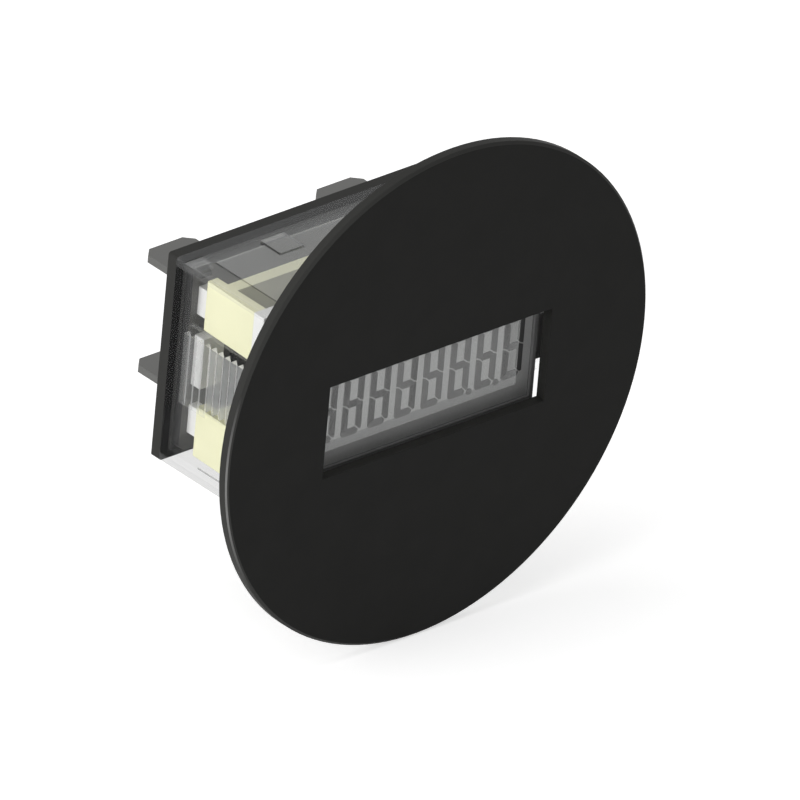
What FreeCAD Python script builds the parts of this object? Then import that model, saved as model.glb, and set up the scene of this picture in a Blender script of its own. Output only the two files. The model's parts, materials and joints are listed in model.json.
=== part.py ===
"""Panel-mounted LCD totalizer counter with a round bezel and a clear case.

Frame: X to the right, Y from the front to the back, Z up, in millimetres.
The origin is the centre of the bezel's rear face, in the plane of the panel's front.
"""
import FreeCAD, Part
import math
import os
import Sketcher

# Driving dimensions, one row each: name, value, meaning.
DIMENSIONS = [
    ("bezel_diameter", 55.9, "round bezel, outside"),
    ("bezel_thickness", 1.2, "bezel plate"),
    ("bezel_chamfer", 0.3, "bevel around the bezel's front edge"),
    ("window_width", 29.6, "opening in the bezel"),
    ("window_height", 10.7, "opening in the bezel"),
    ("case_width", 36.6, "clear case, outside"),
    ("case_height", 23.6, "clear case, outside"),
    ("case_length", 19.26, "clear case, from the bezel to the cover"),
    ("wall", 1.0, "clear case"),
    ("corner_radius", 0.3, "long edges of the case and the cover"),
    ("fit_gap", 0.1, "clearance between pieces that slide together"),
    ("ratchet_height", 8.06, "band of notches for the panel clip, in each side of the case"),
    ("notch_depth", 0.73, "a notch, at its deepest"),
    ("notch_pitch", 1.03, "notches"),
    ("notch_count", 14, "notches in one side"),
    ("notch_margin", 2.06, "case behind the last notch"),
    ("bulge_margin", 0.32, "thicker wall behind the notches, above and below them"),
    ("land_side", 2.4, "case beside the raised flats on its top and underside"),
    ("land_margin", 3.2, "case behind the raised flats"),
    ("land_height", 0.2, "raised flats"),
    ("pad_width", 3.15, "locating pads on the raised flats"),
    ("pad_length", 3.1, "locating pads, front to back"),
    ("pad_height", 0.25, "locating pads, above the raised flats"),
    ("pad_spacing", 15.8, "between the centres of two pads"),
    ("pad_margin", 4.2, "case behind the centre of a pad"),
    ("recess_depth", 0.15, "shallow recesses in the case's top, over the cover's upper hooks"),
    ("cover_thickness", 1.27, "flange of the rear cover"),
    ("plug_height", 0.41, "step of the cover that stands inside the case"),
    ("upper_hook_width", 1.4, "snap hooks at the cover's upper corners"),
    ("lower_hook_width", 2.7, "snap hooks on the cover's lower edge"),
    ("lower_hook_spacing", 11.0, "between the two lower hooks"),
    ("hook_thickness", 0.5, "snap hooks of the rear cover"),
    ("hook_reach", 2.25, "snap hooks, in front of the cover's step"),
    ("hook_catch", 0.3, "how far a hook bites into the case's wall"),
    ("nib_length", 1.35, "catch at the tip of a hook"),
    ("board_thickness", 1.0, "both circuit boards"),
    ("board_corner", 1.2, "rounded lower corners of the main board"),
    ("blade_width", 6.35, "spade terminals"),
    ("blade_thickness", 0.8, "spade terminals"),
    ("blade_length", 8.12, "spade terminals, behind the cover"),
    ("blade_chamfer", 0.95, "corners of a spade's tip"),
    ("blade_spacing_x", 22.4, "between the left and right spades"),
    ("blade_spacing_z", 12.7, "between the upper and lower spades"),
    ("tail_width", 2.4, "solder tail of a spade"),
    ("tail_length", 1.5, "solder tail, from the board's rear face"),
    ("nose_gap", 1.27, "between the case and the holder's front part"),
    ("holder_rim", 0.4, "holder beside the rear glass of the display"),
    ("glass_height", 11.9, "rear glass of the display"),
    ("glass_thickness", 1.1, "rear glass of the display"),
    ("glass_front", 1.6, "front of the rear glass, behind the panel's front"),
    ("ink_thickness", 0.08, "segments between the two glasses"),
    ("cover_glass_front", 0.15, "front of the front glass, behind the panel's front"),
    ("ledge_right", 3.0, "rear glass bare beside the front glass"),
    ("ledge_bottom", 2.78, "rear glass bare below the front glass"),
    ("ledge_top", 1.55, "rear glass bare above the front glass"),
    ("digit_count", 8, "digits in the row"),
    ("digit_margin", 0.648, "rear glass beside the row of digits"),
    ("digit_space", 0.893, "between two digits"),
    ("digit_height", 7.24, "digits"),
    ("digit_rise", 0.37, "middle of the digits, above the middle of the bezel"),
    ("stroke", 0.8, "width of a segment"),
    ("stroke_gap", 0.13, "gap between segments"),
    ("stroke_bevel", 0.25, "cut corner where two strokes meet"),
    ("dot_diameter", 0.72, "decimal points"),
    ("dot_shift", 0.23, "decimal point, left of the middle between two digits"),
    ("dot_drop", 3.16, "decimal points, below the middle"),
    ("dot_digit", 6, "first digit with a decimal point behind it"),
    ("dot_count", 2, "decimal points"),
    ("surround_wall", 0.5, "sides and top of the display's black surround"),
    ("surround_floor", 0.5, "bottom of the surround"),
    ("surround_proud", 0.33, "surround, in front of the rear glass"),
    ("surround_head", 0.5, "room for the pins above the rear glass"),
    ("ear_height", 5.2, "ears of the surround, which bear on the case"),
    ("ear_thickness", 0.5, "ears of the surround"),
    ("glass_play", 0.05, "clearance round the rear glass"),
    ("holder_shoulder", 7.0, "front of the holder's wide part"),
    ("holder_back", 8.53, "rear face of the holder"),
    ("nose_rim", 1.15, "holder's front part, above and below the rear glass"),
    ("holder_wall", 0.6, "top, underside and sides of the holder's hollow nose"),
    ("frame_gap", 0.25, "inner frame and holder, clear of the case's sides"),
    ("frame_headroom", 0.7, "inner frame and holder, clear of the case's top and underside"),
    ("frame_draft", 0.25, "how far each side closes in towards the back"),
    ("frame_plate", 1.28, "side plates of the inner frame, at the back"),
    ("web_setback", 3.1, "from the cross web's front to the frame's rear"),
    ("web_thickness", 1.5, "cross web of the inner frame"),
    ("web_waist", 24.0, "cross web, width at mid height"),
    ("display_board_inset", 0.7, "small circuit board, narrower than the glass at each side"),
    ("display_board_margin", 0.75, "small circuit board, beyond the pins between the boards"),
    ("pin_count", 18, "contact pins of the display"),
    ("pin_margin", 1.4, "rear glass beside the row of contact pins"),
    ("pin_thickness", 0.25, "contact pins of the display"),
    ("pin_width", 0.4, "contact pins of the display"),
    ("pin_grip", 1.25, "how far a pin reaches down over the glass"),
    ("blob_diameter", 8.4, "resin over the counting chip"),
    ("blob_height", 1.2, "resin over the counting chip"),
    ("crystal_diameter", 2.0, "clock crystal"),
    ("crystal_length", 6.0, "clock crystal"),
    ("crystal_gap", 0.4, "between the resin and the crystal"),
    ("capacitor_size", 2.8, "supply capacitor, width and height"),
    ("capacitor_depth", 1.9, "supply capacitor"),
    ("capacitor_inset", 5.2, "from the small board's edge to the capacitor's middle"),
    ("battery_diameter", 12.5, "lithium cell"),
    ("battery_thickness", 2.5, "lithium cell"),
    ("battery_lip", 0.5, "step of the lithium cell's rear"),
    ("battery_rise", 0.4, "lithium cell, above the middle"),
    ("strap_width", 3.0, "spring strap over the lithium cell"),
    ("strap_thickness", 0.25, "spring strap over the lithium cell"),
    ("strap_foot", 1.1, "feet of the spring strap"),
    ("link_pins", 5, "pins between the two boards"),
    ("link_pitch", 1.27, "pins between the two boards"),
    ("link_pin", 0.5, "thickness of a pin between the two boards"),
    ("link_strip", 1.5, "plastic strip that carries those pins"),
    ("link_drop", 7.5, "pins between the two boards, below the middle"),
    ("isolator_width", 2.8, "input isolators on the main board"),
    ("isolator_height", 5.75, "input isolators on the main board"),
    ("isolator_depth", 1.43, "input isolators on the main board"),
    ("isolator_inset", 0.9, "main board beside an input isolator"),
    ("post_height", 3.2, "spacers between the inner frame and the main board"),
    ("post_thickness", 1.2, "spacers between the inner frame and the main board"),
    ("post_place", 6.85, "middle of a spacer, above or below the middle"),
    ("post_inset", 0.6, "inner frame's rear beside a spacer"),
    ("post_length", 1.85, "spacers, from the inner frame to the main board"),
    ("resistor_length", 3.2, "input resistors"),
    ("resistor_width", 1.6, "input resistors"),
    ("resistor_depth", 0.55, "input resistors"),
    ("resistor_gap", 0.35, "between the battery strap's foot and an input resistor"),
    ("resistor_place_z", 1.7, "input resistors, above or below the middle"),
]

# Places that several pieces share, written with the driving dimensions.
CAVITY_X = "(Dims.case_width / 2 - Dims.wall)"
CAVITY_Z = "(Dims.case_height / 2 - Dims.wall)"
BULGE_X = "(%s - Dims.notch_depth)" % CAVITY_X
BULGE_Z = "(Dims.ratchet_height / 2 + Dims.bulge_margin)"
BULGE_CLEAR_X = "(%s - Dims.fit_gap)" % BULGE_X
BULGE_CLEAR_Z = "(%s + Dims.fit_gap)" % BULGE_Z
PLUG_FRONT = "(Dims.case_length - Dims.plug_height)"
BOARD_FRONT = "(%s - Dims.board_thickness)" % PLUG_FRONT
BOARD_X = "(%s - 2 * Dims.fit_gap)" % CAVITY_X
BOARD_Z = "(%s - 2 * Dims.fit_gap)" % CAVITY_Z
HOOK_TOP = "(%s - Dims.fit_gap)" % CAVITY_Z
HOOK_TIP = "(%s - Dims.hook_reach)" % PLUG_FRONT
UPPER_HOOK_X = "(%s - Dims.fit_gap - Dims.upper_hook_width / 2)" % CAVITY_X
LOWER_HOOK_X = "(Dims.lower_hook_spacing / 2)"
NOSE_X = "(%s - Dims.nose_gap)" % BULGE_X
NOSE_Z = "(Dims.glass_height / 2 + Dims.nose_rim)"
GLASS_X = "(%s - Dims.holder_rim)" % NOSE_X
GLASS_BACK = "(Dims.glass_front + Dims.glass_thickness)"
INK_FRONT = "(Dims.glass_front - Dims.ink_thickness)"
BULGE_FRONT = "(%s + Dims.fit_gap)" % GLASS_BACK
DIGIT_PITCH = "(2 * (%s - Dims.digit_margin) / Dims.digit_count)" % GLASS_X
DIGIT_WIDTH = "(%s - Dims.digit_space)" % DIGIT_PITCH
PIN_ROW_X = "(%s - Dims.pin_margin)" % GLASS_X
PIN_PITCH = "(2 * %s / Dims.pin_count)" % PIN_ROW_X
PIN_Z = "(Dims.glass_height / 2 + Dims.glass_play)"
FRAME_X = "(%s - Dims.frame_gap)" % CAVITY_X
FRAME_Z = "(%s - Dims.frame_headroom)" % CAVITY_Z
FRAME_BACK = "(%s - Dims.post_length)" % BOARD_FRONT
FRAME_BACK_X = "(%s - Dims.frame_draft)" % FRAME_X
WEB_FRONT = "(%s - Dims.web_setback)" % FRAME_BACK
DISPLAY_BOARD_X = "(%s - Dims.display_board_inset)" % GLASS_X
DISPLAY_BOARD_Z = "(Dims.link_drop + Dims.link_pin / 2 + Dims.display_board_margin)"
DISPLAY_BOARD_FRONT = "(Dims.holder_back - Dims.board_thickness - Dims.fit_gap)"
DISPLAY_BOARD_BACK = "(Dims.holder_back - Dims.fit_gap)"
LINK_HALF = "(Dims.link_pins * Dims.link_pitch / 2)"
STRAP_SIDE = "(Dims.battery_diameter / 2 + Dims.glass_play + Dims.strap_thickness)"
STRAP_TOE = "(%s + Dims.strap_foot)" % STRAP_SIDE

document = FreeCAD.newDocument("TotalizerCounter")
nodes = []


def make_sheet():
    """Write the driving dimensions into the spreadsheet."""
    sheet = document.addObject("Spreadsheet::Sheet", "Dims")
    for row_number, (name, size, meaning) in enumerate(DIMENSIONS, start=1):
        sheet.set("A%d" % row_number, name)
        sheet.set("B%d" % row_number, str(size))
        sheet.set("C%d" % row_number, meaning)
        sheet.setAlias("B%d" % row_number, name)
    document.recompute()


def number(expression):
    """What an expression comes to with the sheet's present values."""
    return float(document.Dims.evalExpression(expression))


def new_body(label):
    """Start a sub-part. Separate solids are allowed, for groups of like pieces."""
    body = document.addObject("PartDesign::Body", label)
    body.Label = label
    body.AllowCompound = True
    nodes.append(body)
    return body


def origin_feature(body, role):
    """One of the body's own origin planes or axes."""
    for feature in body.Origin.OriginFeatures:
        if feature.Role == role:
            return feature
    raise ValueError(role)


def new_sketch(body, plane, height="0"):
    """A sketch on an origin plane, moved along that plane's normal."""
    sketch = body.newObject("Sketcher::SketchObject", body.Label + "_sketch")
    sketch.AttachmentSupport = [(origin_feature(body, plane), "")]
    sketch.MapMode = "FlatFace"
    sketch.setExpression(".AttachmentOffset.Base.z", height)
    sketch.Visibility = False
    return sketch


def front_sketch(body, depth="0"):
    """A sketch seen from the front, in X and Z, at a distance behind the panel."""
    return new_sketch(body, "XZ_Plane", "-(%s)" % depth)


def bind(sketch, expression, *constraint):
    """Add a dimension and tie its value to an expression."""
    index = sketch.addConstraint(Sketcher.Constraint(*constraint, number(expression)))
    sketch.setExpression("Constraints[%d]" % index, expression)


def fix_point(sketch, element, end, across, up):
    """Tie a point of the sketch to a place given as two expressions."""
    bind(sketch, across, "DistanceX", -1, 1, element, end)
    bind(sketch, up, "DistanceY", -1, 1, element, end)


def direction(start, end):
    """Which way an upright or level line runs, in steps of one."""
    across = end[0] - start[0]
    up = end[1] - start[1]
    if abs(across) > abs(up):
        return (int(math.copysign(1, across)), 0)
    return (0, int(math.copysign(1, up)))


def draw_outline(sketch, corners):
    """Draw a closed outline.

    A corner is two expressions, or three where it is rounded, the last one the radius.
    A rounded corner lies between an upright and a level line.
    """
    places = [(number(corner[0]), number(corner[1])) for corner in corners]
    stops = []
    for i, corner in enumerate(corners):
        if len(corner) == 2:
            stops.append([corner])
            continue
        pair = []
        for neighbour in (places[i - 1], places[(i + 1) % len(corners)]):
            step = direction(places[i], neighbour)
            pair.append(("%s + %d * %s" % (corner[0], step[0], corner[2]),
                         "%s + %d * %s" % (corner[1], step[1], corner[2])))
        stops.append(pair)

    lines = []
    for i, stop in enumerate(stops):
        start = FreeCAD.Vector(number(stop[-1][0]), number(stop[-1][1]), 0)
        following = stops[(i + 1) % len(stops)][0]
        end = FreeCAD.Vector(number(following[0]), number(following[1]), 0)
        lines.append(sketch.addGeometry(Part.LineSegment(start, end)))
    for i, stop in enumerate(stops):
        fix_point(sketch, lines[i], 1, *stop[-1])
        if len(stop) == 1:
            sketch.addConstraint(Sketcher.Constraint("Coincident", lines[i - 1], 2, lines[i], 1))
        else:
            fix_point(sketch, lines[i - 1], 2, *stop[0])
            round_corner(sketch, lines[i - 1], lines[i], corners[i][2])


def round_corner(sketch, line_in, line_out, radius):
    """Join the ends of two square lines with a quarter circle."""
    start = sketch.getPoint(line_in, 2)
    end = sketch.getPoint(line_out, 1)
    along = start - sketch.getPoint(line_in, 1)
    turn = along.cross(sketch.getPoint(line_out, 2) - end).z
    side = FreeCAD.Vector(-along.y, along.x, 0) if turn > 0 else FreeCAD.Vector(along.y, -along.x, 0)
    centre = start + side.normalize() * number(radius)
    first, last = (start, end) if turn > 0 else (end, start)
    angles = [math.atan2((point - centre).y, (point - centre).x) for point in (first, last)]
    circle = Part.Circle(centre, FreeCAD.Vector(0, 0, 1), number(radius))
    arc = sketch.addGeometry(Part.ArcOfCircle(circle, angles[0], angles[1]))
    arc_in, arc_out = (1, 2) if turn > 0 else (2, 1)
    sketch.addConstraint(Sketcher.Constraint("Coincident", line_in, 2, arc, arc_in))
    sketch.addConstraint(Sketcher.Constraint("Coincident", arc, arc_out, line_out, 1))
    bind(sketch, radius, "Radius", arc)


def draw_rectangle(sketch, left, low, right, high):
    """Draw a rectangle between two corners given as expressions."""
    draw_outline(sketch, [(left, low), (right, low), (right, high), (left, high)])


def draw_around(sketch, across, up, width, height):
    """Draw a rectangle round a point."""
    draw_rectangle(sketch, "%s - %s / 2" % (across, width), "%s - %s / 2" % (up, height),
                   "%s + %s / 2" % (across, width), "%s + %s / 2" % (up, height))


def draw_circle(sketch, across, up, radius):
    """Draw a circle whose centre and radius are expressions."""
    centre = FreeCAD.Vector(number(across), number(up), 0)
    circle = Part.Circle(centre, FreeCAD.Vector(0, 0, 1), number(radius))
    index = sketch.addGeometry(circle)
    fix_point(sketch, index, 3, across, up)
    bind(sketch, radius, "Radius", index)


def draw_stepped(sketch, half_width, half_height, waist, step):
    """Draw a rectangle that is narrower at mid height, where the case's wall is thicker."""
    upper = [(waist, step), (half_width, step), (half_width, half_height)]
    corners = list(upper)
    corners += [(flip(across), up) for across, up in reversed(upper)]
    corners += [(flip(across), flip(up)) for across, up in upper]
    corners += [(across, flip(up)) for across, up in reversed(upper)]
    draw_outline(sketch, corners)


def flip(expression):
    """The same distance on the other side of the middle."""
    return "-(%s)" % expression


def pad(body, sketch, length, reverse=False, both_ways=False):
    """Extrude a sketch along its normal, against it, or half to each side."""
    feature = body.newObject("PartDesign::Pad", body.Label + "_pad")
    feature.Profile = sketch
    feature.setExpression("Length", length)
    feature.Reversed = reverse
    feature.Midplane = both_ways
    return feature


def pad_back(body, sketch, length):
    """Extrude a front sketch towards the back."""
    return pad(body, sketch, length, reverse=True)


def pocket(body, sketch, length, reverse=False, both_ways=False):
    """Cut a sketch against its normal, which is towards the back for a front sketch."""
    feature = body.newObject("PartDesign::Pocket", body.Label + "_pocket")
    feature.Profile = sketch
    feature.setExpression("Length", length)
    feature.Reversed = reverse
    feature.Midplane = both_ways
    return feature


def linear_pattern(body, axis, pitch, count):
    """A straight row along an origin axis, not yet given anything to repeat."""
    pattern = body.newObject("PartDesign::LinearPattern", body.Label + "_row")
    pattern.Direction = (origin_feature(body, axis), [""])
    pattern.setExpression("Length", "%s * (%s - 1)" % (pitch, count))
    pattern.setExpression("Occurrences", count)
    return pattern


def row(body, feature, axis, pitch, count):
    """Repeat a feature in a straight row."""
    pattern = linear_pattern(body, axis, pitch, count)
    pattern.Originals = [feature]
    body.Tip = pattern


def mirror(body, feature, plane):
    """Repeat a feature on the other side of an origin plane."""
    mirrored = body.newObject("PartDesign::Mirrored", body.Label + "_mirror")
    mirrored.Originals = [feature]
    mirrored.MirrorPlane = (origin_feature(body, plane), [""])
    body.Tip = mirrored


def block(label, left, right, front, back, low, high):
    """A plain block between three pairs of expressions."""
    body = new_body(label)
    sketch = front_sketch(body, front)
    draw_rectangle(sketch, left, low, right, high)
    pad_back(body, sketch, "%s - %s" % (back, front))
    return body


def make_bezel():
    """Round plate with the window and a bevel round its front."""
    body = new_body("bezel")
    disc = front_sketch(body, "-Dims.bezel_thickness")
    draw_circle(disc, "0", "0", "Dims.bezel_diameter / 2")
    pad_back(body, disc, "Dims.bezel_thickness")
    document.recompute()
    front = -number("Dims.bezel_thickness")
    base = body.Tip
    rims = [index for index, edge in enumerate(base.Shape.Edges, start=1)
            if len(edge.Vertexes) == 1 and math.isclose(edge.CenterOfMass.y, front, abs_tol=1e-4)]
    bevel = body.newObject("PartDesign::Chamfer", "bezel_bevel")
    bevel.Base = (base, ["Edge%d" % index for index in rims])
    bevel.setExpression("Size", "Dims.bezel_chamfer")
    window = front_sketch(body, "-Dims.bezel_thickness")
    draw_around(window, "0", "0", "Dims.window_width", "Dims.window_height")
    pocket(body, window, "Dims.bezel_thickness")


def make_case():
    """Clear sleeve with ratchet notches, raised flats, pads and catches for the hooks."""
    body = new_body("case")
    outside = front_sketch(body)
    half_width = "Dims.case_width / 2"
    half_height = "Dims.case_height / 2"
    draw_outline(outside, rounded_corners(half_width, half_height))
    pad_back(body, outside, "Dims.case_length")
    cavity = front_sketch(body)
    draw_rectangle(cavity, flip(CAVITY_X), flip(CAVITY_Z), CAVITY_X, CAVITY_Z)
    pocket(body, cavity, "Dims.case_length")
    bulges = front_sketch(body, BULGE_FRONT)
    for side in ("", "-"):
        draw_rectangle(bulges, side + BULGE_X, flip(BULGE_Z), side + CAVITY_X, BULGE_Z)
    pad_back(body, bulges, "%s - Dims.fit_gap - %s" % (BOARD_FRONT, BULGE_FRONT))

    notch = new_sketch(body, "XY_Plane")
    start = "(Dims.case_length - Dims.notch_margin - Dims.notch_count * Dims.notch_pitch)"
    flank = "(%s + Dims.notch_pitch)" % start
    draw_outline(notch, [(half_width, start), (half_width, flank),
                         (half_width + " - Dims.notch_depth", flank)])
    wedge = pocket(body, notch, "Dims.ratchet_height", both_ways=True)
    both_rows = body.newObject("PartDesign::MultiTransform", "case_notches")
    both_rows.Originals = [wedge]
    run = linear_pattern(body, "Y_Axis", "Dims.notch_pitch", "Dims.notch_count")
    other_side = body.newObject("PartDesign::Mirrored", "case_notches_mirror")
    other_side.MirrorPlane = (origin_feature(body, "YZ_Plane"), [""])
    both_rows.Transformations = [run, other_side]
    body.Tip = both_rows

    for sign in ("", "-"):
        downwards = sign == "-"
        land = new_sketch(body, "XY_Plane", sign + half_height)
        edge = "(%s - Dims.land_side)" % half_width
        draw_rectangle(land, flip(edge), "0", edge, "Dims.case_length - Dims.land_margin")
        pad(body, land, "Dims.land_height", reverse=downwards)
        raised = new_sketch(body, "XY_Plane", sign + half_height)
        for side in ("", "-"):
            draw_around(raised, side + "Dims.pad_spacing / 2", "(Dims.case_length - Dims.pad_margin)",
                        "Dims.pad_width", "Dims.pad_length")
        pad(body, raised, "Dims.land_height + Dims.pad_height", reverse=downwards)
    cut_catches(body)


def cut_catches(body):
    """Pockets inside the walls where the hooks catch, and the recesses above the upper ones."""
    front = "(%s - Dims.fit_gap)" % HOOK_TIP
    back = "(%s + Dims.nib_length + Dims.fit_gap)" % HOOK_TIP
    recess = new_sketch(body, "XY_Plane", "Dims.case_height / 2")
    for side in ("", "-"):
        draw_rectangle(recess, side + "Dims.case_width / 2", HOOK_TIP + " + Dims.fit_gap",
                       side + "(Dims.case_width / 2 - Dims.land_side)", back)
    pocket(body, recess, "Dims.recess_depth")
    for sign, place, width in hook_pairs():
        catch = new_sketch(body, "XY_Plane", sign + CAVITY_Z)
        for side in ("", "-"):
            draw_rectangle(catch, "%s(%s - %s / 2 - Dims.fit_gap)" % (side, place, width), front,
                           "%s(%s + %s / 2 + Dims.fit_gap)" % (side, place, width), back)
        pocket(body, catch, "Dims.hook_catch + Dims.fit_gap", reverse=sign == "")


def hook_pairs():
    """The sign of Z, the place beside the middle and the width of each pair of snap hooks."""
    return [("", UPPER_HOOK_X, "Dims.upper_hook_width"), ("-", LOWER_HOOK_X, "Dims.lower_hook_width")]


def rounded_corners(half_width, half_height, radius="Dims.corner_radius"):
    """The four rounded corners of a rectangle round the middle."""
    return [(flip(half_width), flip(half_height), radius), (half_width, flip(half_height), radius),
            (half_width, half_height, radius), (flip(half_width), half_height, radius)]


def each_blade():
    """The sign of X and the sign of Z of each of the four terminals."""
    return [("-", ""), ("", ""), ("-", "-"), ("", "-")]


def make_rear_cover():
    """Flange, step that stands inside the case, four slots and four snap hooks."""
    body = new_body("rear_cover")
    flange = front_sketch(body, "Dims.case_length")
    draw_outline(flange, rounded_corners("Dims.case_width / 2", "Dims.case_height / 2"))
    pad_back(body, flange, "Dims.cover_thickness")
    plug = front_sketch(body, PLUG_FRONT)
    draw_around(plug, "0", "0", "2 * (%s - Dims.fit_gap)" % CAVITY_X,
                "2 * (%s - Dims.fit_gap)" % CAVITY_Z)
    pad_back(body, plug, "Dims.plug_height")
    slots = front_sketch(body, PLUG_FRONT)
    for across, up in each_blade():
        draw_around(slots, across + "Dims.blade_spacing_x / 2", up + "Dims.blade_spacing_z / 2",
                    "(Dims.blade_width + Dims.fit_gap)", "(Dims.blade_thickness + Dims.fit_gap)")
    pocket(body, slots, "Dims.plug_height + Dims.cover_thickness")
    for sign, place, width in hook_pairs():
        add_hooks(body, sign, place, width)


def add_hooks(body, sign, place, width):
    """A pair of snap hooks on the upper or the lower edge of the cover's step."""
    hook = new_sketch(body, "YZ_Plane", place)
    low = "%s(%s - Dims.hook_thickness)" % (sign, HOOK_TOP)
    high = sign + HOOK_TOP
    top = "%s(%s + Dims.hook_catch)" % (sign, CAVITY_Z)
    heel = "%s + Dims.nib_length" % HOOK_TIP
    draw_outline(hook, [(HOOK_TIP, low), (PLUG_FRONT, low), (PLUG_FRONT, high), (heel, high),
                        (heel, top), (heel + " - Dims.nib_length / 2", top), (HOOK_TIP, high)])
    arm = pad(body, hook, width, both_ways=True)
    mirror(body, arm, "YZ_Plane")


def make_main_board():
    """Circuit board with notches for the hooks, and holes for pins and tails."""
    body = new_body("main_board")
    outline = front_sketch(body, BOARD_FRONT)
    draw_outline(outline, [(flip(BOARD_X), flip(BOARD_Z), "Dims.board_corner"),
                           (BOARD_X, flip(BOARD_Z), "Dims.board_corner"),
                           (BOARD_X, BOARD_Z), (flip(BOARD_X), BOARD_Z)])
    pad_back(body, outline, "Dims.board_thickness")
    notches = front_sketch(body, BOARD_FRONT)
    hook_low = "(%s - Dims.hook_thickness - Dims.fit_gap)" % HOOK_TOP
    for side in ("", "-"):
        corner = "%s(%s - Dims.upper_hook_width / 2 - Dims.fit_gap)" % (side, UPPER_HOOK_X)
        draw_rectangle(notches, corner, hook_low, side + CAVITY_X, CAVITY_Z)
        draw_rectangle(notches, "%s(%s - Dims.lower_hook_width / 2 - Dims.fit_gap)" % (side, LOWER_HOOK_X),
                       flip(CAVITY_Z),
                       "%s(%s + Dims.lower_hook_width / 2 + Dims.fit_gap)" % (side, LOWER_HOOK_X),
                       flip(hook_low))
    pocket(body, notches, "Dims.board_thickness")
    tails = front_sketch(body, BOARD_FRONT)
    for across, up in each_blade():
        draw_around(tails, across + "Dims.blade_spacing_x / 2", up + "Dims.blade_spacing_z / 2",
                    "Dims.tail_width", "Dims.blade_thickness")
    pocket(body, tails, "Dims.board_thickness")
    drill_link_holes(body, BOARD_FRONT, "Dims.board_thickness")


def drill_link_holes(body, front, thickness):
    """Square holes for the pins between the two boards."""
    hole = front_sketch(body, front)
    draw_around(hole, "-(Dims.link_pins - 1) * Dims.link_pitch / 2", "-Dims.link_drop",
                "Dims.link_pin", "Dims.link_pin")
    first = pocket(body, hole, thickness)
    row(body, first, "X_Axis", "Dims.link_pitch", "Dims.link_pins")


def make_inner_frame():
    """Side plates that close in slightly to the back, joined by a cross web."""
    body = new_body("inner_frame")
    plate = new_sketch(body, "XY_Plane")
    inside = "(%s - Dims.frame_plate)" % FRAME_BACK_X
    draw_outline(plate, [(FRAME_X, "Dims.holder_back"), (FRAME_BACK_X, FRAME_BACK),
                         (inside, FRAME_BACK), (inside, "Dims.holder_back")])
    right = pad(body, plate, "2 * " + FRAME_Z, both_ways=True)
    mirror(body, right, "YZ_Plane")
    web = front_sketch(body, WEB_FRONT)
    draw_rectangle(web, flip(inside), flip(FRAME_Z), inside, FRAME_Z)
    pad_back(body, web, "Dims.web_thickness")
    gaps = front_sketch(body, "Dims.holder_back")
    for side in ("", "-"):
        draw_rectangle(gaps, side + "Dims.web_waist / 2", flip(BULGE_CLEAR_Z),
                       side + CAVITY_X, BULGE_CLEAR_Z)
    pocket(body, gaps, "%s - Dims.holder_back" % FRAME_BACK)
    passage = front_sketch(body, WEB_FRONT)
    draw_around(passage, "0", "-Dims.link_drop", "(2 * %s + 4 * Dims.fit_gap)" % LINK_HALF,
                "(Dims.link_strip + 2 * Dims.fit_gap)")
    pocket(body, passage, "Dims.web_thickness")


def make_lcd_holder():
    """Hollow carrier: a nose behind the display and a wide part that fills the case."""
    body = new_body("lcd_holder")
    wide = front_sketch(body, "Dims.holder_shoulder")
    draw_stepped(wide, FRAME_X, FRAME_Z, BULGE_CLEAR_X, BULGE_CLEAR_Z)
    pad_back(body, wide, "Dims.holder_back - Dims.holder_shoulder")
    nose = front_sketch(body, GLASS_BACK)
    draw_rectangle(nose, flip(NOSE_X), flip(NOSE_Z), NOSE_X, NOSE_Z)
    pad_back(body, nose, "Dims.holder_shoulder - %s" % GLASS_BACK)
    hollow = front_sketch(body, GLASS_BACK + " + Dims.wall")
    side_x = "(%s + 2 * Dims.fit_gap)" % PIN_ROW_X
    side_z = "(%s - Dims.holder_wall)" % NOSE_Z
    draw_rectangle(hollow, flip(side_x), flip(side_z), side_x, side_z)
    pocket(body, hollow, "Dims.holder_back - %s - Dims.wall" % GLASS_BACK)
    seat = front_sketch(body, DISPLAY_BOARD_FRONT)
    draw_around(seat, "0", "0", "2 * (%s + Dims.fit_gap)" % DISPLAY_BOARD_X,
                "2 * (%s + Dims.fit_gap)" % DISPLAY_BOARD_Z)
    pocket(body, seat, "Dims.board_thickness + Dims.fit_gap")
    slot = front_sketch(body, GLASS_BACK)
    draw_rectangle(slot, flip(PIN_ROW_X), PIN_Z + " - Dims.fit_gap", PIN_ROW_X,
                   PIN_Z + " + Dims.pin_thickness + Dims.fit_gap")
    pocket(body, slot, "Dims.wall")


def make_lcd_frame():
    """Thin black surround of the display, with an ear on each side that bears on the case."""
    body = new_body("lcd_frame")
    front = "(Dims.glass_front - Dims.surround_proud)"
    inside_x = "(%s + Dims.glass_play)" % GLASS_X
    outside_x = "(%s + Dims.surround_wall)" % inside_x
    low = "(Dims.glass_height / 2 + Dims.glass_play)"
    high = "(Dims.glass_height / 2 + Dims.surround_head)"
    outer = front_sketch(body, front)
    draw_rectangle(outer, flip(outside_x), "-(%s + Dims.surround_floor)" % low,
                   outside_x, "%s + Dims.surround_wall" % high)
    pad_back(body, outer, "%s - %s" % (GLASS_BACK, front))
    inner = front_sketch(body, front)
    draw_rectangle(inner, flip(inside_x), flip(low), inside_x, high)
    pocket(body, inner, "%s - %s" % (GLASS_BACK, front))
    ears = front_sketch(body, "%s - Dims.ear_thickness" % GLASS_BACK)
    for side in ("", "-"):
        draw_rectangle(ears, side + outside_x, "-Dims.ear_height / 2",
                       side + BOARD_X, "Dims.ear_height / 2")
    pad_back(body, ears, "Dims.ear_thickness")


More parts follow.
